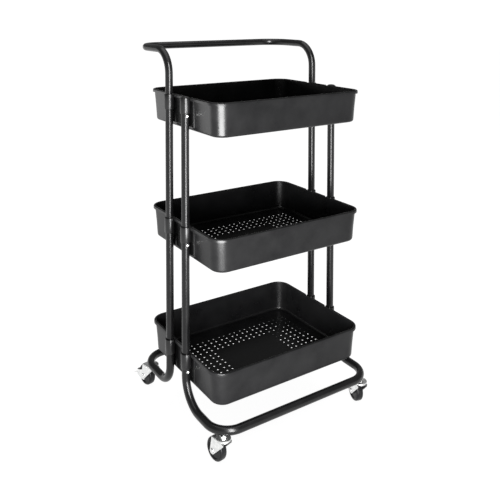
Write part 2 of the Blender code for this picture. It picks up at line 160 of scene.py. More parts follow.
# ------------------------------------------------------------------ finishes
class Graph:
    """Small helper that wires the nodes of one material."""

    def __init__(self, name: str) -> None:
        """Start an empty node tree with a Principled shader.

        Args:
            name: Name of the new material.
        """
        self.material = bpy.data.materials.new(name)
        self.material.use_nodes = True
        self.tree = self.material.node_tree
        self.shader = self.tree.nodes["Principled BSDF"]
        self.place = self.node("ShaderNodeTexCoord").outputs["Object"]

    def node(self, kind: str, **inputs: object) -> bpy.types.Node:
        """Add a node and set its unlinked inputs.

        Args:
            kind: Blender's identifier of the node type.
            inputs: Input names, with underscores for blanks, and their values.

        Returns:
            The new node.
        """
        made = self.tree.nodes.new(kind)
        for key, value in inputs.items():
            made.inputs[key.replace("_", " ")].default_value = value
        return made

    def link(self, source: Socket, target: Socket) -> None:
        """Join two sockets."""
        self.tree.links.new(source, target)

    def noise(self, size: float, detail: float = 2.0, rough: float = 0.55,
              stretch: Sequence[float] = (1.0, 1.0, 1.0)) -> Socket:
        """Noise pattern with a real feature size.

        Args:
            size: Size of one feature in metres.
            detail: Octaves of finer noise.
            rough: Weight of the finer octaves.
            stretch: Scale of the pattern along each axis.

        Returns:
            The socket with values from 0 to 1.
        """
        place = self.node("ShaderNodeMapping")
        place.inputs["Scale"].default_value = stretch
        self.link(self.place, place.inputs["Vector"])
        made = self.node("ShaderNodeTexNoise", Scale=1.0 / size, Detail=detail, Roughness=rough)
        self.link(place.outputs["Vector"], made.inputs["Vector"])
        return made.outputs["Fac"]

    def spread(self, source: Socket, low: float, high: float,
               start: float = 0.3, stop: float = 0.7) -> Socket:
        """Stretch the middle of a pattern over a range.

        Args:
            source: Pattern with values from 0 to 1.
            low: Result where the pattern is at start.
            high: Result where the pattern is at stop.
            start: Lower end of the part of the pattern that is used.
            stop: Upper end of that part.

        Returns:
            The socket with values from low to high.
        """
        made = self.node("ShaderNodeMapRange", From_Min=start, From_Max=stop,
                         To_Min=low, To_Max=high)
        self.link(source, made.inputs["Value"])
        return made.outputs["Result"]

    def blend(self, source: Socket, first: Sequence[float],
              second: Sequence[float]) -> Socket:
        """Mix two colours.

        Args:
            source: Share of the second colour, from 0 to 1.
            first: First colour.
            second: Second colour.

        Returns:
            The colour socket.
        """
        made = self.tree.nodes.new("ShaderNodeMix")
        made.data_type = "RGBA"
        made.inputs["A"].default_value = (*first, 1.0)
        made.inputs["B"].default_value = (*second, 1.0)
        self.link(source, made.inputs["Factor"])
        return made.outputs["Result"]

    def bump(self, source: Socket, height: float, strength: float,
             below: Socket | None = None) -> Socket:
        """Turn a value into a surface relief.

        Args:
            source: Relief pattern.
            height: Height of the relief in metres.
            strength: Share of the relief that shows.
            below: Normal of a coarser relief, if there is one.

        Returns:
            The normal socket.
        """
        made = self.node("ShaderNodeBump", Strength=strength, Distance=height)
        self.link(source, made.inputs["Height"])
        if below is not None:
            self.link(below, made.inputs["Normal"])
        return made.outputs["Normal"]

    def dress(self, colour: Socket, roughness: Socket,
              normal: Socket) -> bpy.types.Material:
        """Wire the three inputs of the shader that vary over the surface.

        Args:
            colour: Base colour.
            roughness: Roughness.
            normal: Normal with the relief.

        Returns:
            The finished material.
        """
        self.link(colour, self.shader.inputs["Base Color"])
        self.link(roughness, self.shader.inputs["Roughness"])
        self.link(normal, self.shader.inputs["Normal"])
        return self.material


@dataclass(frozen=True)
class PowderCoat:
    """Black baked powder: faint orange peel, fine grain, soft cloudiness."""

    name: str
    dark: Point = (0.0025, 0.0025, 0.0027)
    pale: Point = (0.0050, 0.0050, 0.0052)
    smooth: float = 0.24
    dull: float = 0.36
    peel: float = 0.0016
    grain: float = 0.00035
    cloud: float = 0.045
    gloss: float = 0.5
    relief: float = 0.30
    peel_height: float = 0.00004
    grain_height: float = 0.00002
    grain_share: float = 0.7

    def make(self) -> bpy.types.Material:
        """Build the material.

        Returns:
            The material.
        """
        graph = Graph(self.name)
        cloud = graph.noise(self.cloud, detail=3.0)
        peel = graph.noise(self.peel, detail=2.0)
        grain = graph.noise(self.grain, detail=1.0)
        colour = graph.blend(graph.spread(cloud, 0.0, 1.0), self.dark, self.pale)
        rough = graph.spread(cloud, self.smooth, self.dull)
        relief = graph.bump(peel, self.peel_height, self.relief)
        relief = graph.bump(grain, self.grain_height, self.grain_share * self.relief, relief)
        graph.shader.inputs["Specular IOR Level"].default_value = self.gloss
        return graph.dress(colour, rough, relief)


@dataclass(frozen=True)
class BrightZinc:
    """Bright zinc plate over pressed steel, with faint clouding and draw marks."""

    name: str
    bright: Point = (0.90, 0.90, 0.89)
    dim: Point = (0.68, 0.69, 0.69)
    smooth: float = 0.26
    dull: float = 0.42
    cloud: float = 0.0060
    mark: float = 0.0009
    mark_stretch: Point = (1.0, 1.0, 0.12)
    mark_height: float = 0.00003
    relief: float = 0.25

    def make(self) -> bpy.types.Material:
        """Build the material.

        Returns:
            The material.
        """
        graph = Graph(self.name)
        cloud = graph.noise(self.cloud, detail=3.0)
        marks = graph.noise(self.mark, detail=2.0, rough=0.6, stretch=self.mark_stretch)
        colour = graph.blend(graph.spread(cloud, 0.0, 1.0), self.dim, self.bright)
        rough = graph.spread(marks, self.smooth, self.dull)
        relief = graph.bump(marks, self.mark_height, self.relief)
        graph.shader.inputs["Metallic"].default_value = 1.0
        return graph.dress(colour, rough, relief)


@dataclass(frozen=True)
class Moulding:
    """Moulded plastic: slight haze, fine texture and, on treads, a little dust."""

    name: str
    base: Point = (0.004, 0.004, 0.005)
    dust: Point = (0.011, 0.011, 0.010)
    smooth: float = 0.26
    dull: float = 0.46
    haze: float = 0.0075
    grain: float = 0.0007
    grain_height: float = 0.00003
    relief: float = 0.25
    gloss: float = 0.22

    def make(self) -> bpy.types.Material:
        """Build the material.

        Returns:
            The material.
        """
        graph = Graph(self.name)
        graph.shader.inputs["Specular IOR Level"].default_value = self.gloss
        haze = graph.noise(self.haze, detail=4.0, rough=0.62)
        grain = graph.noise(self.grain, detail=1.5)
        colour = graph.blend(graph.spread(haze, 0.0, 1.0, start=0.45, stop=0.80), self.base, self.dust)
        rough = graph.spread(haze, self.smooth, self.dull)
        relief = graph.bump(grain, self.grain_height, self.relief)
        return graph.dress(colour, rough, relief)


@dataclass(frozen=True)
class LightTable:
    """Pale matt table top with a faint tooth that glows evenly by itself."""

    name: str
    dark: Point = (0.24, 0.24, 0.24)
    pale: Point = (0.26, 0.26, 0.26)
    smooth: float = 0.80
    dull: float = 0.90
    tooth: float = 0.02
    tooth_height: float = 0.0001
    relief: float = 0.05
    glow: float = 0.96

    def make(self) -> bpy.types.Material:
        """Build the material.

        Returns:
            The material.
        """
        graph = Graph(self.name)
        tooth = graph.noise(self.tooth, detail=3.0)
        colour = graph.blend(graph.spread(tooth, 0.0, 1.0), self.dark, self.pale)
        rough = graph.spread(tooth, self.smooth, self.dull)
        graph.shader.inputs["Emission Color"].default_value = (1.0, 1.0, 1.0, 1.0)
        graph.shader.inputs["Emission Strength"].default_value = self.glow
        return graph.dress(colour, rough, graph.bump(tooth, self.tooth_height, self.relief))


class Finish(Enum):
    """The finishes of the cart and of the table under it."""

    TRAY = PowderCoat("tray_powder_coat", gloss=0.19, smooth=0.27, dull=0.33)
    TUBE = PowderCoat("tube_powder_coat", smooth=0.22, dull=0.28, gloss=0.34, relief=0.05)
    BRACKET = PowderCoat("bracket_powder_coat", smooth=0.24, dull=0.36)
    ZINC = BrightZinc("caster_zinc")
    SCREW = BrightZinc("screw_zinc", smooth=0.16, dull=0.28)
    WHEEL = Moulding("wheel_plastic")
    CAP = Moulding("cap_plastic", (0.006, 0.006, 0.006), (0.012, 0.012, 0.012))
    TABLE = LightTable("pale_floor")


class Palette:
    """The materials of the finishes, each made once."""

    def __init__(self) -> None:
        """Start with nothing made."""
        self.made: dict[Finish, bpy.types.Material] = {}

    def get(self, finish: Finish) -> bpy.types.Material:
        """Find the material of a finish, or build it on first use.

        Args:
            finish: The finish.

        Returns:
            Its material.
        """
        if finish not in self.made:
            self.made[finish] = finish.value.make()
        return self.made[finish]


PALETTE = Palette()


# --------------------------------------------------------------- mesh helpers
class Skin:
    """A closed mesh that is grown from rings of points."""

    def __init__(self) -> None:
        """Start with an empty mesh."""
        self.mesh = bmesh.new()

    def ring(self, points: Iterable[Sequence[float]]) -> Ring:
        """Add the points of one ring."""
        return [self.mesh.verts.new(point) for point in points]

    def level(self, points: Iterable[Plan], height: float) -> Ring:
        """Add a ring of points that lie at one height."""
        return self.ring((x, y, height) for x, y in points)

    def bridge(self, first: Ring, second: Ring) -> None:
        """Join two rings with quads.

        Args:
            first: One ring.
            second: The other, of the same count.
        """
        count = len(first)
        for i in range(count):
            j = (i + 1) % count
            self.mesh.faces.new((first[i], first[j], second[j], second[i]))

    def stack(self, rings: Sequence[Ring], closed: bool = False) -> None:
        """Bridge every ring to the next.

        Args:
            rings: Rings of equal count, in order.
            closed: Whether the last ring is bridged to the first as well.
        """
        for first, second in zip(rings, rings[1:]):
            self.bridge(first, second)
        if closed:
            self.bridge(rings[-1], rings[0])

    def fan(self, ring: Ring, tip: Sequence[float]) -> None:
        """Close a ring with triangles that meet in one point.

        Args:
            ring: The ring.
            tip: The point.
        """
        top = self.mesh.verts.new(tip)
        for i, vert in enumerate(ring):
            self.mesh.faces.new((vert, ring[(i + 1) % len(ring)], top))

    def lid(self, ring: Ring) -> None:
        """Close a ring with one flat face."""
        self.mesh.faces.new(ring)

    def finish(self, name: str, finish: Finish, place: Matrix | None = None,
               crease: float = 38.0, weighted: bool = False) -> bpy.types.Object:
        """Turn the mesh into an object with a finish.

        Args:
            name: Name of the piece.
            finish: What it is finished in.
            place: Transform that is baked into the points.
            crease: Angle in degrees above which an edge stays sharp.
            weighted: Whether large faces rule the shading, as on pressed sheet.

        Returns:
            The new object, linked to the scene.
        """
        if place is not None:
            self.mesh.transform(place)
        bmesh.ops.recalc_face_normals(self.mesh, faces=self.mesh.faces)
        data = bpy.data.meshes.new(name)
        self.mesh.to_mesh(data)
        self.mesh.free()
        data.materials.append(PALETTE.get(finish))
        data.shade_smooth()
        data.set_sharp_from_angle(angle=math.radians(crease))
        made = bpy.data.objects.new(name, data)
        bpy.context.scene.collection.objects.link(made)
        if weighted:
            modifier = made.modifiers.new("flat_faces_rule", "WEIGHTED_NORMAL")
            modifier.keep_sharp = True
        return made


def around(radius: float, sides: int, start: float = 0.0,
           centre: Plan = (0.0, 0.0)) -> list[Plan]:
    """Points of a circle in a plane.

    Args:
        radius: Radius of the circle.
        sides: Number of points.
        start: Angle of the first point in radians.
        centre: Centre of the circle.

    Returns:
        The points, anticlockwise.
    """
    points = []
    for k in range(sides):
        a = start + 2.0 * math.pi * k / sides
        points.append((centre[0] + radius * math.cos(a), centre[1] + radius * math.sin(a)))
    return points


def at_angles(radius: float, angles: Iterable[float]) -> list[Plan]:
    """Points of a circle at the given angles."""
    return [(radius * math.cos(a), radius * math.sin(a)) for a in angles]


def rounded(corners: Sequence[Point], steps: int = 5) -> list[Plan]:
    """Polygon with rounded corners.

    Args:
        corners: Corner points, each with the radius of its rounding.
        steps: Segments of each rounding.

    Returns:
        The outline as points.
    """
    outline: list[Plan] = []
    count = len(corners)
    for i, (x, y, radius) in enumerate(corners):
        here = Vector((x, y))
        if radius <= 0.0:
            outline.append((x, y))
            continue
        back = (Vector(corners[i - 1][:2]) - here).normalized()
        ahead = (Vector(corners[(i + 1) % count][:2]) - here).normalized()
        half = 0.5 * back.angle(ahead)
        reach = radius / math.tan(half)
        centre = here + (back + ahead).normalized() * (radius / math.sin(half))
        first = here + back * reach - centre
        last = here + ahead * reach - centre
        sweep = first.angle_signed(last)
        for k in range(steps + 1):
            arm = first.copy()
            arm.rotate(Matrix.Rotation(-sweep * k / steps, 2))
            outline.append((centre.x + arm.x, centre.y + arm.y))
    return outline


def lathe(name: str, profile: Sequence[Plan], sides: int, finish: Finish,
          place: Matrix | None = None, crease: float = 38.0) -> bpy.types.Object:
    """Body of revolution about the local z axis.

    Args:
        name: Name of the piece.
        profile: Closed section as (radius, height); a radius of 0 is on the axis.
        sides: Number of sides.
        finish: What it is finished in.
        place: Transform of the piece.
        crease: Angle above which an edge stays sharp.

    Returns:
        The new object.
    """
    skin = Skin()
    on_axis = profile[0][0] == 0.0
    turned = [p for p in profile if p[0] > 0.0]
    rings = [skin.level(around(radius, sides), height) for radius, height in turned]
    skin.stack(rings, closed=not on_axis)
    if on_axis:
        skin.fan(rings[0], (0.0, 0.0, profile[0][1]))
        skin.fan(rings[-1], (0.0, 0.0, profile[-1][1]))
    return skin.finish(name, finish, place, crease)


def slab(name: str, outline: Sequence[Plan], low: float, high: float, edge: float, finish: Finish,
         place: Matrix | None = None) -> bpy.types.Object:
    """Flat plate with eased edges, pushed along the local z axis.

    Args:
        name: Name of the piece.
        outline: Outline of the plate, anticlockwise.
        low: Height of the lower face.
        high: Height of the upper face.
        edge: Size of the eased edge.
        finish: What it is finished in.
        place: Transform of the piece.

    Returns:
        The new object.
    """
    inner = shrunk(outline, edge)
    levels = ((inner, low), (outline, low + edge), (outline, high - edge), (inner, high))
    skin = Skin()
    rings = [skin.level(points, z) for points, z in levels]
    skin.stack(rings)
    skin.lid(rings[0])
    skin.lid(rings[-1])
    return skin.finish(name, finish, place, crease=30.0, weighted=True)


def shrunk(outline: Sequence[Plan], inset: float) -> list[Plan]:
    """Outline moved inwards by a small distance.

    Args:
        outline: The outline, anticlockwise.
        inset: The distance.

    Returns:
        The smaller outline.
    """
    moved = []
    count = len(outline)
    for i in range(count):
        before = Vector(outline[i - 1])
        here = Vector(outline[i])
        after = Vector(outline[(i + 1) % count])
        first = (here - before).normalized()
        second = (after - here).normalized()
        inward = Vector((-(first.y + second.y), first.x + second.x))
        if inward.length < SAME_POINT:
            inward = Vector((-first.y, first.x))
        inward.normalize()
        share = max(SHARPEST, inward.dot(Vector((-first.y, first.x))))
        moved.append(tuple(here + inward * (inset / share)))
    return moved


@dataclass(frozen=True)
class Station:
    """One cross-section of a tube."""

    point: Vector
    outer: float
    inner: float


def far_from(here: Vector, points: Iterable[Vector]) -> Iterator[Vector]:
    """Those of the points that don't lie on this one."""
    return (point for point in points if (point - here).length > SAME_POINT)


def tube(name: str, stations: Sequence[Station], sides: int, finish: Finish) -> bpy.types.Object:
    """Hollow tube along a path.

    Args:
        name: Name of the piece.
        stations: Cross-sections from one end to the other.
        sides: Number of sides.
        finish: What it is finished in.

    Returns:
        The new object.
    """
    points = [station.point for station in stations]
    skin = Skin()
    normal = Vector((0.0, 1.0, 0.0))
    outer = []
    inner = []
    for i, station in enumerate(stations):
        before = next(far_from(points[i], reversed(points[:i])), None)
        after = next(far_from(points[i], points[i + 1:]), None)
        tangent = Vector()
        if before is not None:
            tangent += (points[i] - before).normalized()
        if after is not None:
            tangent += (after - points[i]).normalized()
        tangent.normalize()
        normal = (normal - tangent * normal.dot(tangent)).normalized()
        side = tangent.cross(normal)
        for radius, rings in ((station.outer, outer), (station.inner, inner)):
            rings.append(skin.ring(points[i] + normal * x + side * y
                                   for x, y in around(radius, sides)))
    skin.stack(outer)
    skin.stack(inner)
    skin.bridge(outer[0], inner[0])
    skin.bridge(outer[-1], inner[-1])
    return skin.finish(name, finish, crease=32.0)


def mount(piece: bpy.types.Object, body: str, slot: Slot, *nodes: str) -> bpy.types.Object:
    """Fix a finished piece to its body and hide the frame nodes it replaces.

    Args:
        piece: The piece.
        body: Body of the frame that carries it.
        slot: Not used; the material slot it would take its finish from.
        nodes: Frame nodes it replaces.

    Returns:
        The same piece.
    """
    if nodes:
        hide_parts(*nodes)
    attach(piece, body)
    LOG.info("%s rides on %s", piece.name, body)
    return piece


# ---------------------------------------------------------------------- trays
@dataclass
class HoleGrid:
    """Perforation of a tray floor: clusters of four holes on a square grid."""

    pitch: float = 0.0321
    inner_pitch: float = 0.0145
    radius: float = 0.0019
    ease: float = 0.0004
    ease_slope: float = 0.7
    sides: int = 12
    columns: int = 5
    rows: int = 3
    plain_columns: int = 2
    plain_rows: int = 1

    def clusters(self) -> list[tuple[int, int]]:
        """Choose the clusters; the middle of the floor stays plain.

        Returns:
            Column and row of each cluster, counted from the middle.
        """
        kept = []
        for column in range(-self.columns, self.columns + 1):
            for row in range(-self.rows, self.rows + 1):
                if abs(row) > self.plain_rows or abs(column) > self.plain_columns:
                    kept.append((column, row))
        return kept

    def centres(self) -> list[Plan]:
        """Lay out the holes.

        Returns:
            Centre of every hole.
        """
        half = 0.5 * self.inner_pitch
        found = []
        for column, row in self.clusters():
            for dx in (-half, half):
                for dy in (-half, half):
                    found.append((column * self.pitch + dx, row * self.pitch + dy))
        return found


@dataclass(frozen=True)
class TrayWall:
    """Tapered wall that the trays and the brackets on them share."""

    lip: float = 0.0050
    taper: float = 0.0038
    depth: float = 0.0705

    def inset(self, below: float) -> float:
        """Inset of the outer face from the outside of the rim, at a depth."""
        return self.lip + self.taper * max(below, 0.0) / self.depth


WALL = TrayWall()


@dataclass
class Tray:
    """Deep-drawn sheet tray with a rolled rim and a perforated floor."""

    tier: Tier
    sheet: float = 0.0009
    skirt: float = 0.0067
    corner: float = 0.0360
    foot: float = 0.0060
    tighten: float = 0.0010
    wall_rows: Plan = (0.0640, 0.0420)
    corner_steps: int = 10
    foot_steps: int = 6
    margin: float = 0.0040
    post_y: float = 0.0390
    notch: float = 0.0122
    holes: HoleGrid = field(default_factory=HoleGrid)
    outer_x: float = field(init=False, default=0.0)
    outer_y: float = field(init=False, default=0.0)

    @property
    def node(self) -> str:
        """Frame node that this tray stands for."""
        return "tray_" + self.tier.value

    def stations(self, half: float, notched: bool) -> list[tuple[float, float]]:
        """Extra points along one straight side.

        Args:
            half: Half length of the straight run.
            notched: Whether the rim makes way for the posts on this side.

        Returns:
            Positions along the side, falling, each with its share of the rim.
        """
        places = [(half - self.margin, 1.0), (-half + self.margin, 1.0), (0.0, 1.0)]
        if notched:
            steps = ((0.0013, 1.0), (0.0006, 0.55), (0.0, 0.12), (-0.0006, 0.0))
            for centre in (-self.post_y, self.post_y):
                for away in (-1.0, 1.0):
                    for extra, share in steps:
                        places.append((centre + away * (self.notch + extra), share))
        else:
            for share in (-0.66, -0.33, 0.33, 0.66):
                places.append((share * half, 1.0))
        return sorted(places, reverse=True)

    def loop(self, half_x: float, half_y: float, corner: float) -> list[Point]:
        """Rounded rectangle with the extra stations of the sides.

        Args:
            half_x: Half length over the loop.
            half_y: Half width over the loop.
            corner: Plan radius.

        Returns:
            Points as (x, y, share of the rim).
        """
        flat_x = self.outer_x - self.corner
        flat_y = self.outer_y - self.corner
        points = []
        signs = ((1, 1), (-1, 1), (-1, -1), (1, -1))
        for quarter, (sx, sy) in enumerate(signs):
            for step in range(self.corner_steps + 1):
                a = 0.5 * math.pi * (quarter + step / self.corner_steps)
                x = sx * (half_x - corner) + corner * math.cos(a)
                y = sy * (half_y - corner) + corner * math.sin(a)
                points.append((x, y, 1.0))
            along_y = quarter % 2 == 1
            turn = -1.0 if quarter in (2, 3) else 1.0
            for place, share in self.stations(flat_y if along_y else flat_x, along_y):
                if along_y:
                    points.append((sx * half_x, turn * place, share))
                else:
                    points.append((turn * place, sy * half_y, share))
        return points

    def rim_section(self) -> list[tuple[Plan, Plan]]:
        """Section of the rolled rim from the outer wall over to the inner wall.

        Returns:
            Pairs of (inset, depth): the full rim, and the plain edge at a notch.
        """
        wall = WALL.lip
        t = self.sheet
        return [
            ((wall, 0.0120), (wall, 0.0120)),
            ((wall, 0.0034), (wall, 0.0060)),
            ((wall - 0.0005, 0.0021), (wall, 0.0045)),
            ((wall - 0.0014, 0.0013), (wall, 0.0034)),
            ((t + 0.0010, 0.0013), (wall, 0.0026)),
            ((t, 0.0022), (wall, 0.0020)),
            ((t, self.skirt), (wall + 0.00005, 0.0016)),
            ((0.0, self.skirt), (wall + 0.0001, 0.0012)),
            ((0.0, 0.0020), (wall + 0.0002, 0.0009)),
            ((0.0004, 0.0008), (wall + 0.0003, 0.0007)),
            ((0.0014, -0.0001), (wall + 0.0004, 0.0006)),
            ((0.0026, -0.0005), (wall + 0.0005, 0.0006)),
            ((0.0042, -0.0004), (wall + 0.0006, 0.0007)),
            ((wall + 0.0004, 0.0002), (wall + 0.00075, 0.0009)),
            ((wall + t, 0.0014), (wall + t, 0.0016)),
            ((wall + t, 0.0120), (wall + t, 0.0120)),
        ]

    def rows(self) -> list[list[Point]]:
        """All rings of the tray from the floor's underside over the rim to its top.

        Returns:
            The rings of points.
        """
        t = self.sheet
        rings = [self.flat(*row) for row in self.foot_rows(self.foot, 0.0)]
        for depth in self.wall_rows:
            rings.append(self.flat(WALL.inset(depth), depth, self.wall_corner(depth)))
        rings += [self.mixed(full, plain) for full, plain in self.rim_section()]
        for depth in reversed(self.wall_rows):
            rings.append(self.flat(WALL.inset(depth) + t, depth, self.wall_corner(depth) - t))
        rings += [self.flat(*row) for row in reversed(self.foot_rows(self.foot - t, t))]
        return rings

    def foot_rows(self, radius: float, sheet: float) -> list[Point]:
        """Rounding between the wall and the floor.

        Args:
            radius: Radius of the rounding.
            sheet: Distance of this face from the outer one.

        Returns:
            Inset, depth and plan radius of each row, from the floor up.
        """
        low = WALL.inset(WALL.depth)
        corner = self.wall_corner(WALL.depth)
        found = []
        for k in range(self.foot_steps + 1):
            a = 0.5 * math.pi * (1.0 - k / self.foot_steps)
            reach = sheet + radius * (1.0 - math.cos(a))
            found.append((low + reach, WALL.depth + radius * math.sin(a), corner - reach))
        return found

    def wall_corner(self, depth: float) -> float:
        """Plan radius of the outer wall at a depth."""
        return self.corner - WALL.lip - self.tighten * depth / WALL.depth

    def flat(self, inset: float, depth: float, corner: float) -> list[Point]:
        """Ring at one depth below the rim."""
        return [(x, y, -depth) for x, y, _ in self.level(inset, corner)]

    def level(self, inset: float, corner: float) -> list[Point]:
        """Loop at an inset from the outside of the rim."""
        return self.loop(self.outer_x - inset, self.outer_y - inset, corner)

    def mixed(self, full: Plan, plain: Plan) -> list[Point]:
        """Ring of the rim that fades into a plain edge where the posts pass.

        Args:
            full: Inset and depth of the full rim.
            plain: Inset and depth of the plain edge.

        Returns:
            The points of the ring.
        """
        wide = self.level(full[0], self.corner - full[0])
        trim = self.level(plain[0], self.corner - plain[0])
        ring = []
        for (x0, y0, share), (x1, y1, _) in zip(wide, trim):
            ring.append((x1 + (x0 - x1) * share, y1 + (y0 - y1) * share,
                         -(plain[1] + (full[1] - plain[1]) * share)))
        return ring

    def floor(self, skin: Skin, low: Ring,
              high: Ring) -> None:
        """Fill the floor between its two outer rings and punch the holes.

        Args:
            skin: The tray's mesh.
            low: Outer ring of the underside.
            high: Outer ring of the upper side.
        """
        grid = self.holes
        centres = grid.centres()
        count = len(low)
        spots = [Vector((v.co.x, v.co.y)) for v in low]
        edges = [(i, (i + 1) % count) for i in range(count)]
        for centre in centres:
            first = len(spots)
            wide = around(grid.radius + grid.ease, grid.sides, 0.0, centre)
            spots += [Vector(point) for point in wide]
            edges += [(first + k, first + (k + 1) % grid.sides) for k in range(grid.sides)]
        _, _, faces, origins, _, _ = delaunay_2d_cdt(spots, edges, [], 1, SAME_POINT)
        source = [origin[0] for origin in origins]
        z_low = low[0].co.z
        z_high = high[0].co.z
        under = list(low) + skin.level(spots[count:], z_low)
        upper_side = list(high) + skin.level(spots[count:], z_high)
        sides = grid.sides
        for face in faces:
            ids = [source[i] for i in face]
            holes = {(i - count) // sides if i >= count else -1 for i in ids}
            if len(holes) == 1 and -1 not in holes:
                continue
            skin.mesh.faces.new([under[i] for i in ids])
            skin.mesh.faces.new([upper_side[i] for i in ids])
        for index, centre in enumerate(centres):
            first = count + index * sides
            throat = around(grid.radius, sides, 0.0, centre)
            top = upper_side[first:first + sides]
            bottom = under[first:first + sides]
            upper = skin.level(throat, z_high - grid.ease * grid.ease_slope)
            lower = skin.level(throat, z_low + grid.ease * grid.ease_slope)
            skin.stack([top, upper, lower, bottom])

    def build(self) -> bpy.types.Object:
        """Press the tray.

        Returns:
            The tray, riding on the frame.
        """
        low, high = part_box(self.node)
        self.outer_x = 0.5 * (high.x - low.x)
        self.outer_y = 0.5 * (high.y - low.y)
        skin = Skin()
        rings = [skin.ring(points) for points in self.rows()]
        skin.stack(rings)
        self.floor(skin, rings[0], rings[-1])
        place = Matrix.Translation((*middle(self.node), high.z - RIM_ROLL))
        piece = skin.finish(self.node + "_pressing", Finish.TRAY, place, crease=50.0, weighted=True)
        return mount(piece, ROOT_BODY, Slot.COAT, self.node)


# ----------------------------------------------------------- sleeve brackets
@dataclass
class SleeveBracket:
    """Plate on the end of a tray with a sleeve round each of the two posts."""

    tier: Tier
    side: Side
    sleeve: float = 0.0118
    bore: float = 0.0095
    sleeve_top: float = 0.0010
    sleeve_length: float = 0.0350
    ease: float = 0.0009
    mouth: float = 0.0006
    mouth_depth: float = 0.0016
    plate_top: float = 0.0075
    plate_gap: float = 0.0004
    plate_sheet: float = 0.0009
    plate_edge: float = 0.0008
    plate_least: float = 0.0005
    plate_low_row: float = 0.0040
    plate_top_row: float = 0.0080
    dip: float = 0.0016
    dip_half: float = 0.0250
    dip_slope: float = 0.0030
    dip_floor: float = 0.0006
    sides: int = 48

    @property
    def node(self) -> str:
        """Frame node that this bracket stands for."""
        return "bracket_%s_%s" % (self.tier.value, self.side.word)

    def build(self, posts: Sequence[Plan], rim: float, tray_x: float) -> None:
        """Form the plate and roll the sleeves.

        Args:
            posts: Centres of the two posts at this end.
            rim: Height of the tray's rim.
            tray_x: Half length of the tray over its rim.
        """
        mount(self.plate(rim, tray_x), ROOT_BODY, Slot.COAT, self.node)
        wall = tray_x - WALL.lip + self.plate_gap
        for end, centre in zip(End, posts):
            mount(self.roll_sleeve(end, centre, rim, wall), ROOT_BODY, Slot.COAT)

    def plate(self, rim: float, tray_x: float) -> bpy.types.Object:
        """Pressed plate that follows the tray wall and is dished between the posts.

        Args:
            rim: Height of the tray's rim.
            tray_x: Half length of the tray over its rim.

        Returns:
            The plate.
        """
        box_low, box_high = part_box(self.node)
        sx = self.side.value
        outer = tray_x - WALL.lip + self.plate_sheet
        half_y = 0.5 * (box_high.y - box_low.y)
        low = box_low.z
        top = rim - self.plate_top
        edge = self.plate_edge
        spans = [-half_y + edge, -self.dip_half - self.dip_slope, -self.dip_half,
                 self.dip_half, self.dip_half + self.dip_slope, half_y - edge]
        levels = [low, low + edge, low + self.plate_low_row, 0.5 * (low + top),
                  top - self.plate_top_row, top - edge, top]
        skin = Skin()
        rings = []
        for z in levels:
            back = tray_x - WALL.inset(rim - z) + self.plate_gap
            thick = max(outer - back, self.plate_least)
            eased = z in (low, top)
            face = back + (thick - edge if eased and thick > 2 * edge else thick)
            ring = [(back, -half_y)]
            if thick > 2 * edge:
                ring.append((face - edge, -half_y))
            else:
                ring.append((back + 0.5 * thick, -half_y))
            for y in spans:
                sunk = abs(y) <= self.dip_half + SAME_POINT
                drop = min(self.dip, max(thick - self.dip_floor, 0.0)) if sunk else 0.0
                ring.append((face - drop, y))
            ring.append((ring[1][0], half_y))
            ring.append((back, half_y))
            rings.append(skin.ring((sx * x, y, z) for x, y in ring))
        skin.stack(rings)
        skin.lid(rings[0])
        skin.lid(rings[-1])
        return skin.finish(self.node + "_plate", Finish.BRACKET, crease=28.0, weighted=True)

    def roll_sleeve(self, end: End, centre: Plan, rim: float, wall: float) -> bpy.types.Object:
        """Sleeve round one post, flat where it meets the tray.

        Args:
            end: Which of the two posts.
            centre: Centre of the post.
            rim: Height of the rim.
            wall: Distance of the tray wall from the middle plane.

        Returns:
            The sleeve.
        """
        sx = self.side.value
        top = rim - self.sleeve_top
        low = top - self.sleeve_length
        ease = self.ease

        def outline(radius: float) -> list[Plan]:
            """Plan outline, flattened at the wall."""
            circle = around(radius, self.sides, 0.0, centre)
            return [(sx * max(sx * x, wall), y) for x, y in circle]

        levels = (
            (self.sleeve - ease, top), (self.sleeve - 0.3 * ease, top - 0.3 * ease),
            (self.sleeve, top - ease), (self.sleeve, low + ease),
            (self.sleeve - 0.3 * ease, low + 0.3 * ease), (self.sleeve - ease, low),
            (self.bore, low), (self.bore, top - self.mouth_depth), (self.bore + self.mouth, top),
        )
        skin = Skin()
        rings = [skin.level(outline(radius), z) for radius, z in levels]
        skin.stack(rings, closed=True)
        name = "sleeve_%s_%s_%s" % (self.tier.value, end.word, self.side.word)
        return skin.finish(name, Finish.BRACKET, crease=40.0)


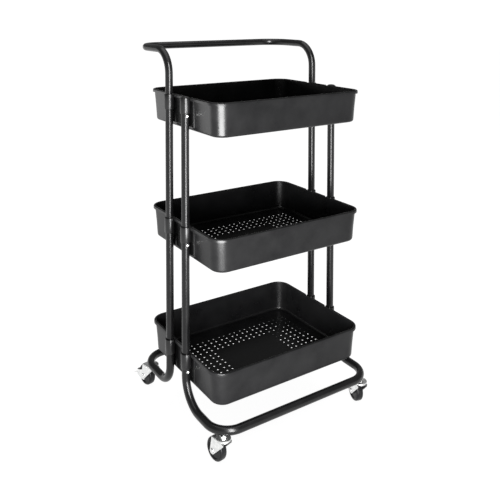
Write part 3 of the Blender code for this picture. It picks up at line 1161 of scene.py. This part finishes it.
# ---------------------------------------------------------------------- tubes
@dataclass
class TubeStock:
    """Sizes that all tubes of the cart share."""

    radius: float = 0.0091
    wall: float = 0.0011
    spigot: float = 0.0077
    spigot_wall: float = 0.0010
    spigot_length: float = 0.0520
    seat: float = 0.0010
    ease: float = 0.0006
    nose: float = 0.0008
    nose_length: float = 0.0012
    bore_ease: float = 0.0002
    shoulder_length: float = 0.0030
    end_length: float = 0.0040
    sides: int = 36

    def plugged(self, x: float, y: float, rim: float) -> list[Station]:
        """Stations of a reduced lower end, from its tip upwards.

        Args:
            x: Place of the tube.
            y: Place of the tube.
            rim: Height of the rim of the tray at this joint.

        Returns:
            The stations.
        """
        shoulder = rim + self.seat
        bore = self.spigot - self.spigot_wall
        tip = rim - self.spigot_length
        return [
            Station(Vector((x, y, tip)), self.spigot - self.nose, bore - self.bore_ease),
            Station(Vector((x, y, tip + self.nose_length)), self.spigot, bore),
            Station(Vector((x, y, shoulder)), self.spigot, bore),
            Station(Vector((x, y, shoulder)), self.radius - self.ease, bore),
            Station(Vector((x, y, shoulder + self.ease)), self.radius, bore),
            Station(Vector((x, y, shoulder + self.shoulder_length)), self.radius,
                    self.radius - self.wall),
        ]

    def open_end(self, x: float, y: float, top: float) -> list[Station]:
        """Stations of a plain upper end with an eased edge.

        Args:
            x: Place of the tube.
            y: Place of the tube.
            top: Height of its end.

        Returns:
            The stations, going up.
        """
        bore = self.radius - self.wall
        return [
            Station(Vector((x, y, top - self.end_length)), self.radius, bore),
            Station(Vector((x, y, top - self.ease)), self.radius, bore),
            Station(Vector((x, y, top)), self.radius - 0.5 * self.ease, bore + self.bore_ease),
        ]


STOCK = TubeStock()


def quarter(centre: Vector, start: Vector, stop: Vector, radius: float,
            steps: int) -> list[Vector]:
    """Points of a quarter bend.

    Args:
        centre: Centre of the bend.
        start: Direction from the centre to the first point.
        stop: Direction from the centre to the last point.
        radius: Radius of the bend.
        steps: Number of segments.

    Returns:
        The points.
    """
    points = []
    for k in range(steps + 1):
        a = 0.5 * math.pi * k / steps
        points.append(centre + start * (radius * math.cos(a)) + stop * (radius * math.sin(a)))
    return points


@dataclass
class BentBow:
    """Left half of a U-shaped tube: leg, bend out of the leg, plan corner."""

    leg: Plan
    bar_y: float
    bar_z: float
    bend: float
    corner: float
    upward: bool
    steps: int = 14

    def path(self) -> list[Vector]:
        """Centre line from one leg to the other.

        Returns:
            The points of the line.
        """
        out = 1.0 if self.bar_y > self.leg[1] else -1.0
        rise = 1.0 if self.upward else -1.0
        ex = Vector((1.0, 0.0, 0.0))
        ey = Vector((0.0, out, 0.0))
        ez = Vector((0.0, 0.0, rise))
        x, y = self.leg
        first = Vector((x, y, self.bar_z)) + ey * self.bend - ez * self.bend
        second = Vector((x, self.bar_y, self.bar_z)) + ex * self.corner - ey * self.corner
        half = quarter(first, -ey, ez, self.bend, self.steps)
        half += quarter(second, -ex, ey, self.corner, self.steps)
        return half + [Vector((-p.x, p.y, p.z)) for p in reversed(half)]


@dataclass
class Post:
    """Straight post tube that plugs into the tube below it."""

    level: Level
    end: End
    side: Side

    @property
    def node(self) -> str:
        """Frame node that this post stands for."""
        return "post_%s_%s_%s" % (self.level.value, self.end.word, self.side.word)

    def build(self, rims: dict[Tier, float]) -> bpy.types.Object:
        """Make the post between two tiers.

        Args:
            rims: Rim height of every tray.

        Returns:
            The post.
        """
        x, y = middle(self.node)
        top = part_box(self.node)[1].z
        below = rims[Tier.BOTTOM if self.level is Level.LOWER else Tier.MIDDLE]
        stations = STOCK.plugged(x, y, below) + STOCK.open_end(x, y, top)
        piece = tube(self.node + "_tube", stations, STOCK.sides, Finish.TUBE)
        return mount(piece, ROOT_BODY, Slot.COAT, self.node)


@dataclass
class HandleBow:
    """Rear posts that rise, bend back and meet in the push bar."""

    bend: float = 0.0575
    corner: float = 0.0555
    node: str = "handle_tube"

    def build(self, leg: Plan, rim: float) -> bpy.types.Object:
        """Bend the handle.

        Args:
            leg: Centre of the left rear post.
            rim: Height of the top tray's rim.

        Returns:
            The handle.
        """
        _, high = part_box(self.node)
        bow = BentBow(leg, high.y - STOCK.radius, high.z - STOCK.radius,
                      self.bend, self.corner, True)
        bore = STOCK.radius - STOCK.wall
        stations = STOCK.plugged(leg[0], leg[1], rim)
        stations += [Station(p, STOCK.radius, bore) for p in bow.path()]
        stations += list(reversed(STOCK.plugged(-leg[0], leg[1], rim)))
        piece = tube(self.node.replace("tube", "bow"), stations, STOCK.sides, Finish.TUBE)
        return mount(piece, ROOT_BODY, Slot.COAT, self.node)


@dataclass
class BaseBow:
    """Lower tube that runs from the posts out to the floor bar and back."""

    end: End
    radius: float = 0.0095
    corner: float = 0.0512
    front_bend: float = 0.0620
    rear_bend: float = 0.0460
    drop: float = 0.0010

    @property
    def bend(self) -> float:
        """Radius of the bend out of the leg."""
        return self.front_bend if self.end is End.FRONT else self.rear_bend

    def build(self, leg: Plan, rim: float) -> bpy.types.Object:
        """Bend the base tube.

        Args:
            leg: Centre of the left post at this end.
            rim: Height of the bottom tray's rim.

        Returns:
            The base tube.
        """
        node = "base_tube_" + self.end.word
        low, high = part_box(node)
        far = low.y if self.end is End.FRONT else high.y
        bar_y = far - self.end.value * self.radius
        bow = BentBow(leg, bar_y, low.z + self.radius, self.bend, self.corner, False)
        x, y = leg
        bore = self.radius - STOCK.wall
        stations = list(reversed(STOCK.open_end(x, y, rim - self.drop)))
        stations += [Station(p, self.radius, bore) for p in bow.path()]
        stations += STOCK.open_end(-x, y, rim - self.drop)
        piece = tube(node.replace("tube", "bow"), stations, STOCK.sides, Finish.TUBE)
        return mount(piece, ROOT_BODY, Slot.COAT, node)


@dataclass
class PostCap:
    """Plug with a low dome on the top of a front post."""

    side: Side
    rise: float = 0.0022
    sides: int = 36

    def build(self) -> bpy.types.Object:
        """Mould the cap.

        Returns:
            The cap.
        """
        node = "post_cap_" + self.side.word
        centre = (*middle(node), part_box(node)[1].z - self.rise)
        radius = STOCK.radius
        profile = [
            (0.0, self.rise), (0.0030, self.rise - 0.0001), (0.0056, self.rise - 0.0005),
            (0.0075, self.rise - 0.0010), (radius - 0.0004, 0.0006), (radius, 0.0),
            (radius - 0.0001, -0.0006), (STOCK.spigot, -0.0007), (STOCK.spigot, -0.0110),
            (STOCK.spigot - 0.0008, -0.0120), (0.0, -0.0120),
        ]
        place = Matrix.Translation(centre)
        piece = lathe(node + "_plug", profile, self.sides, Finish.CAP, place)
        return mount(piece, ROOT_BODY, Slot.CAP, node)


@dataclass
class JointScrew:
    """Pan-head screw with a cross recess."""

    tier: Tier
    end: End
    side: Side
    head: float = 0.0040
    height: float = 0.0024
    shank: float = 0.0020
    length: float = 0.0052
    slot_half: float = 0.0006
    arm: float = 0.0022
    recess: float = 0.0013
    recess_flare: float = 1.15
    recess_edge: float = 0.0001
    recess_point: float = 0.0003
    shank_point: float = 0.0004

    def build(self) -> bpy.types.Object:
        """Turn the screw and sink its cross recess.

        Returns:
            The screw.
        """
        node = "screw_%s_%s_%s" % (self.tier.value, self.end.word, self.side.word)
        low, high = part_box(node)
        face = low.y + self.height if self.end is End.FRONT else high.y - self.height
        centre = Vector((0.5 * (low.x + high.x), face, 0.5 * (low.z + high.z)))
        turn = Matrix.Rotation(-self.end.value * 0.5 * math.pi, 4, "X")
        place = Matrix.Translation(centre) @ turn
        cross = self.cross()
        angles = [math.atan2(y, x) for x, y in cross]
        flared = [(self.recess_flare * x, self.recess_flare * y) for x, y in cross]
        skin = Skin()
        rings = [skin.level(cross, self.height - self.recess),
                 skin.level(flared, self.height - self.recess_edge)]
        for share, z in ((0.66, 0.95), (0.86, 0.72), (0.97, 0.40), (1.0, 0.0)):
            rings.append(skin.level(at_angles(self.head * share, angles), self.height * z))
        for z in (0.0, -self.length):
            rings.append(skin.level(at_angles(self.shank, angles), z))
        skin.stack(rings)
        skin.fan(rings[0], (0.0, 0.0, self.height - self.recess - self.recess_point))
        skin.fan(rings[-1], (0.0, 0.0, -self.length - self.shank_point))
        piece = skin.finish(node + "_pan_head", Finish.SCREW, place, crease=35.0)
        return mount(piece, ROOT_BODY, Slot.ZINC, node)

    def cross(self) -> list[Plan]:
        """Outline of the recess, one arm towards each quarter.

        Returns:
            The outline.
        """
        w = self.slot_half
        arm = self.arm
        quarter_turn = [(arm, -w), (arm, w), (w * 1.3, w * 1.3)]
        points = []
        for k in range(4):
            c = math.cos(0.5 * math.pi * k)
            s = math.sin(0.5 * math.pi * k)
            points += [(c * x - s * y, s * x + c * y) for x, y in quarter_turn]
        return points


# -------------------------------------------------------------------- casters
@dataclass
class Caster:
    """Twin-race swivel caster: stem and nut, pressed fork, axle and wheel.

    Local x runs along the trail, local z is up with 0 at the tube's underside.
    """

    end: End
    side: Side
    stem: float = 0.0040
    nut: float = 0.0078
    nut_height: float = 0.0040
    gap: float = 0.0003
    race: float = 0.0168
    crown: float = 0.0155
    fork_inner: float = 0.0119
    fork_sheet: float = 0.0015
    fork_rear: float = 0.0243
    tread: float = 0.0254
    half_width: float = 0.0095
    axle: float = 0.0030
    kingpin: float = 0.0030
    race_height: float = 0.0036
    race_room: float = 0.0042
    crown_sheet: float = 0.0022
    spoke_shift: float = 0.0001
    cheek_edge: float = 0.0005
    nut_chamfer: float = 0.0008
    nut_crown: float = 0.90
    nut_sides: int = 24
    race_sides: int = 44
    axle_sides: int = 28
    wheel_sides: int = 64

    @property
    def key(self) -> str:
        """Corner of the cart, as in the frame's names."""
        return "%s_%s" % (self.end.word, self.side.word)

    @property
    def race_top(self) -> float:
        """Height of the top of the upper race, under the nut."""
        return -2.0 * self.gap - self.nut_height

    @property
    def crown_top(self) -> float:
        """Height of the top of the fork's crown."""
        return self.race_top - self.race_room - self.gap

    @property
    def crown_low(self) -> float:
        """Height of the underside of the fork's crown."""
        return self.crown_top - self.crown_sheet

    def joint(self, name: str) -> dict:
        """Joint of the frame that belongs to this caster."""
        wanted = "%s_%s" % (name, self.key)
        return next(j for j in frame["joints"] if j["name"] == wanted)

    def build(self) -> None:
        """Assemble the caster on its pivot."""
        pivot = Vector(self.joint("swivel_turn")["pos_m"])
        roll = self.joint("wheel_roll")
        hub = Vector(roll["pos_m"])
        self.drop = pivot.z - hub.z
        self.trail = (hub.xy - pivot.xy).length
        axis = Vector(roll["axis"])
        turn = math.atan2(-axis.x, axis.y)
        self.place = Matrix.Translation(pivot) @ Matrix.Rotation(turn, 4, "Z")
        self.axle_place = self.place @ Matrix.Translation((self.trail, 0.0, -self.drop))
        self.axle_place = self.axle_place @ Matrix.Rotation(0.5 * math.pi, 4, "X")
        self.make_stem()
        self.make_nut()
        self.make_fork()
        self.make_axle()
        self.make_wheel()

    def make_stem(self) -> None:
        """Threaded stem, upper race and kingpin."""
        race_top = self.race_top
        race_low = race_top - self.race_height
        crown_low = self.crown_low
        pin = self.kingpin
        r = self.race
        profile = [
            (0.0, 0.0070), (self.stem - 0.0008, 0.0070), (self.stem, 0.0062),
            (self.stem, race_top), (0.0098, race_top), (0.0118, race_top - 0.0003),
            (0.0140, race_top - 0.0009), (r - 0.0008, race_top - 0.0011),
            (r - 0.0002, race_top - 0.0015), (r, race_top - 0.0021), (r, race_low + 0.0003),
            (r - 0.0006, race_low), (r - 0.0014, race_low + 0.0002), (r - 0.0018, race_low + 0.0010),
            (0.0100, race_low + 0.0010), (0.0090, race_low), (pin, race_low - 0.0004),
            (pin, crown_low - self.gap), (0.0052, crown_low - self.gap),
            (0.0050, crown_low - 0.0014), (0.0036, crown_low - 0.0022), (0.0, crown_low - 0.0024),
        ]
        piece = lathe("caster_stem_%s_race" % self.key, profile, self.race_sides, Finish.ZINC,
                      self.place, crease=32.0)
        mount(piece, ROOT_BODY, Slot.ZINC, "caster_stem_" + self.key)

    def make_nut(self) -> None:
        """Hexagon nut with chamfered corners and a bore."""
        top = -self.gap
        low = top - self.nut_height
        corner = math.pi / 6.0
        skin = Skin()
        rings = []
        for share, z in ((self.nut_crown, top), (1.0, top - self.nut_chamfer),
                         (1.0, low + self.nut_chamfer), (self.nut_crown, low)):
            ring = []
            for k in range(self.nut_sides):
                a = 2.0 * math.pi * k / self.nut_sides
                flat = math.cos(corner) / math.cos(a % (2.0 * corner) - corner)
                reach = self.nut * (flat if share == 1.0 else min(flat, share))
                ring.append((reach * math.cos(a), reach * math.sin(a), z))
            rings.append(skin.ring(ring))
        bore = self.stem + self.gap
        for z in (low, top):
            rings.append(skin.level(around(bore, self.nut_sides), z))
        skin.stack(rings, closed=True)
        piece = skin.finish("caster_nut_%s_hexagon" % self.key, Finish.SCREW, self.place,
                            crease=25.0)
        mount(piece, ROOT_BODY, Slot.ZINC, "caster_nut_" + self.key)

    def make_fork(self) -> None:
        """Dished crown with two bent side plates, in one pressing."""
        top = self.crown_top
        low = self.crown_low
        body = "swivel_" + self.key
        skin = Skin()
        rings = []
        for inset, z in ((0.0006, low), (0.0, low + 0.0005), (0.0, top - 0.0007),
                         (0.0007, top), (0.0018, top - 0.0002), (0.0032, top - 0.0010)):
            outline = self.crown_outline(inset)
            rings.append(skin.level(outline, z))
        spokes = [math.atan2(y, x + self.spoke_shift) for x, y in outline]
        for radius, z in ((0.0116, top - 0.0012), (0.0100, top - 0.0004),
                          (0.0038, top - 0.0004), (0.0038, low)):
            rings.append(skin.level(at_angles(radius, spokes), z))
        skin.stack(rings, closed=True)
        crown = skin.finish("caster_fork_%s_crown" % self.key, Finish.ZINC, self.place, crease=32.0)
        mount(crown, body, Slot.ZINC, "caster_fork_" + self.key)
        outline = self.cheek(low)
        lying = self.place @ Matrix.Rotation(0.5 * math.pi, 4, "X")
        outer = self.fork_inner + self.fork_sheet
        for name, near, far in (("near", self.fork_inner, outer), ("far", -outer, -self.fork_inner)):
            piece = slab("caster_fork_%s_cheek_%s" % (self.key, name), outline, near, far,
                         self.cheek_edge, Finish.ZINC, lying)
            mount(piece, body, Slot.ZINC)

    def crown_outline(self, inset: float) -> list[Plan]:
        """Outline of the crown: round in front, square behind over the side plates.

        Args:
            inset: Distance inside the full outline.

        Returns:
            The outline.
        """
        steps = 32
        angles = [math.radians(62.0 + 236.0 * step / steps) for step in range(steps + 1)]
        side = self.fork_inner + self.fork_sheet - inset
        rear = self.fork_rear - inset
        square = [(0.012, -side), (rear, -side), (rear, side), (0.012, side)]
        return at_angles(self.crown - inset, angles) + square

    def cheek(self, low: float) -> list[Plan]:
        """Outline of a side plate: wide under the crown, cut away in front of the axle.

        Args:
            low: Height of the crown's underside.

        Returns:
            The outline.
        """
        foot = -self.drop - 0.0082
        return rounded([
            (-0.0140, -0.0150, 0.0030),
            (0.0180, foot + 0.0016, 0.0030),
            (0.0205, foot, 0.0020),
            (0.0270, foot, 0.0040),
            (0.0303, foot + 0.0040, 0.0040),
            (self.fork_rear, low + 0.0006, 0.0003),
            (-0.0140, low + 0.0006, 0.0003),
        ])

    def make_axle(self) -> None:
        """Riveted axle with a domed head on both sides."""
        reach = self.fork_inner + self.fork_sheet + self.gap
        r = self.axle
        half = [(0.0, reach + 0.0022), (0.0024, reach + 0.0020), (0.0042, reach + 0.0014),
                (0.0051, reach + 0.0004), (0.0052, reach), (r, reach)]
        profile = half + [(radius, -z) for radius, z in reversed(half)]
        piece = lathe("caster_axle_%s_rivet" % self.key, profile, self.axle_sides, Finish.SCREW,
                      self.axle_place)
        mount(piece, "swivel_" + self.key, Slot.ZINC, "caster_axle_" + self.key)

    def make_wheel(self) -> None:
        """Moulded wheel: crowned tread, dished sides with a stepped hub."""
        w = self.half_width
        r = self.tread
        side = [
            (self.axle + self.gap, w), (0.0070, w), (0.0080, w - 0.0004), (0.0086, w - 0.0018),
            (0.0094, w - 0.0024), (0.0172, w - 0.0024), (0.0182, w - 0.0018), (0.0190, w - 0.0006),
            (0.0202, w - 0.0003), (0.0216, w - 0.0005), (0.0230, w - 0.0011), (0.0241, w - 0.0020),
            (0.0249, w - 0.0032), (0.0253, w - 0.0046), (r, w - 0.0062),
        ]
        profile = side + [(radius, -z) for radius, z in reversed(side)]
        piece = lathe("caster_wheel_%s_moulding" % self.key, profile, self.wheel_sides,
                      Finish.WHEEL, self.axle_place, crease=30.0)
        mount(piece, "wheel_" + self.key, Slot.WHEEL, "caster_wheel_" + self.key)


@dataclass
class BrakeLever:
    """Pressed lever of a rear caster: two arms beside the wheel and a bridge behind it."""

    side: Side
    edge: float = 0.0003
    edge_segments: int = 2
    edge_angle: float = 40.0

    def build(self) -> None:
        """Break the sharp edges of the frame's lever and plate it."""
        node = "brake_lever_rear_" + self.side.word
        piece = frame["nodes"][node]
        piece.data.materials.clear()
        piece.data.materials.append(PALETTE.get(Finish.ZINC))
        bevel = piece.modifiers.new("broken_edges", "BEVEL")
        bevel.width = self.edge
        bevel.segments = self.edge_segments
        bevel.limit_method = "ANGLE"
        bevel.angle_limit = math.radians(self.edge_angle)


# --------------------------------------------------------------------- studio
@dataclass(frozen=True)
class Softbox:
    """One rectangular lamp; it lights the pieces of some finishes, or of all if none is named."""

    name: str
    place: Point
    aim: Point
    width: float
    height: float
    radiance: float
    lights: tuple[Finish, ...] = ()

    @property
    def power(self) -> float:
        """Power that gives the panel its radiance."""
        return math.pi * self.radiance * self.width * self.height

    def build(self) -> bpy.types.Object:
        """Hang the lamp and limit it to the pieces of its finishes.

        Returns:
            The lamp.
        """
        data = bpy.data.lights.new(self.name, "AREA")
        data.shape = "RECTANGLE"
        data.size = self.width
        data.size_y = self.height
        data.energy = self.power
        lamp = bpy.data.objects.new(self.name, data)
        lamp.location = self.place
        direction = Vector(self.aim) - Vector(self.place)
        lamp.rotation_euler = direction.to_track_quat("-Z", "Y").to_euler()
        lamp.visible_camera = False
        bpy.context.scene.collection.objects.link(lamp)
        if self.lights:
            wanted = [PALETTE.get(finish) for finish in self.lights]
            flagged = bpy.data.collections.new(self.name + "_flags")
            for piece in list(bpy.context.scene.objects):
                if piece.type == "MESH" and any(m in wanted for m in piece.data.materials):
                    flagged.objects.link(piece)
            lamp.light_linking.receiver_collection = flagged
        return lamp


@dataclass
class Studio:
    """Pale floor, even surround, soft lamps and the camera."""

    eye: Point = (-0.9114, -1.3216, 0.9757)
    tilt: float = 87.437
    heading: float = -32.596
    lens: float = 46.99
    shift: tuple[float, float] = (0.0366, -0.4263)
    sensor: float = 36.0
    farthest: float = 200.0
    floor_half: float = 40.0
    kerb: float = 3.0
    surround: float = 0.22

    def build(self) -> None:
        """Set up the floor, the surround and the camera; the lamps come later."""
        self.make_floor()
        self.make_surround()
        self.make_camera()

    def light(self) -> None:
        """Hang the lamps, once every piece they light is there."""
        for lamp in self.lamps():
            lamp.build()

    def lamps(self) -> list[Softbox]:
        """The lamps of the studio.

        Returns:
            A strip for the tubes and the metal parts, two lamps for the trays and one for all.
        """
        trays = (Finish.TRAY,)
        others = (Finish.TUBE, Finish.BRACKET, Finish.ZINC, Finish.SCREW, Finish.WHEEL, Finish.CAP)
        return [
            Softbox("strip_box", (-0.40, -1.12, 0.95), (-0.21, -0.04, 0.95), 0.32, 1.9, 34.0, others),
            Softbox("corner_box", (-0.80, -1.00, 0.36), (-0.19, -0.15, 0.45), 0.85, 0.7, 62.0, trays),
            Softbox("side_box", (-1.10, 1.45, 0.55), (-0.21, 0.0, 0.40), 1.1, 1.0, 1.6, trays),
            Softbox("top_box", (0.0, 0.0, 3.0), (0.0, 0.0, 0.0), 2.5, 2.5, 1.5),
        ]

    def make_floor(self) -> None:
        """Lay the light table, with a kerb round its far edge."""
        half = self.floor_half
        corners = ((-half, -half), (half, -half), (half, half), (-half, half))
        skin = Skin()
        edge = skin.level(corners, 0.0)
        skin.lid(edge)
        skin.bridge(edge, skin.level(corners, self.kerb))
        skin.finish("studio_floor", Finish.TABLE)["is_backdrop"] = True

    def make_surround(self) -> None:
        """Even white light from all around."""
        world = bpy.data.worlds.new("studio_surround")
        world.use_nodes = True
        back = world.node_tree.nodes["Background"]
        back.inputs["Color"].default_value = (1.0, 1.0, 1.0, 1.0)
        back.inputs["Strength"].default_value = self.surround
        bpy.context.scene.world = world

    def make_camera(self) -> None:
        """Standing eye at the front left corner."""
        data = bpy.data.cameras.new("studio_camera")
        data.lens = self.lens
        data.sensor_width = self.sensor
        data.shift_x, data.shift_y = self.shift
        data.clip_end = self.farthest
        camera = bpy.data.objects.new("studio_camera", data)
        camera.location = self.eye
        camera.rotation_euler = (math.radians(self.tilt), 0.0, math.radians(self.heading))
        bpy.context.scene.collection.objects.link(camera)
        bpy.context.scene.camera = camera
        bpy.context.scene.view_settings.view_transform = "Standard"


# ----------------------------------------------------------------------- cart
class Cart:
    """The whole cart, built from its sub-assemblies."""

    def __init__(self) -> None:
        """Read the places that several sub-assemblies share."""
        self.rims = {tier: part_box("tray_" + tier.value)[1].z - RIM_ROLL for tier in Tier}
        self.tray_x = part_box("tray_top")[1].x
        self.posts: dict[tuple[End, Side], Plan] = {}
        for end in End:
            for side in Side:
                self.posts[(end, side)] = middle("post_lower_%s_%s" % (end.word, side.word))

    def build(self) -> None:
        """Build and dress every sub-assembly in order."""
        for tier in Tier:
            Tray(tier).build()
            for side in Side:
                centres = [self.posts[(end, side)] for end in End]
                SleeveBracket(tier, side).build(centres, self.rims[tier], self.tray_x)
                for end in End:
                    JointScrew(tier, end, side).build()
        for level in Level:
            for end in End:
                for side in Side:
                    Post(level, end, side).build(self.rims)
        HandleBow().build(self.posts[(End.REAR, Side.LEFT)], self.rims[Tier.TOP])
        for end in End:
            BaseBow(end).build(self.posts[(end, Side.LEFT)], self.rims[Tier.BOTTOM])
        for side in Side:
            PostCap(side).build()
            for end in End:
                Caster(end, side).build()
            BrakeLever(side).build()


def plain(bounds: Iterable[Iterable[float]]) -> list[list[float]]:
    """Bounds as lists of plain numbers."""
    return [[float(value) for value in corner] for corner in bounds]


def main() -> None:
    """Build the studio and the cart, and work out both boxes."""
    logging.basicConfig(level=logging.INFO, format="%(name)s: %(message)s")
    studio = Studio()
    studio.build()
    Cart().build()
    studio.light()
    {"frame": plain(FRAME_BOX), "visual": plain(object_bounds())}


if __name__ == "__main__":
    main()
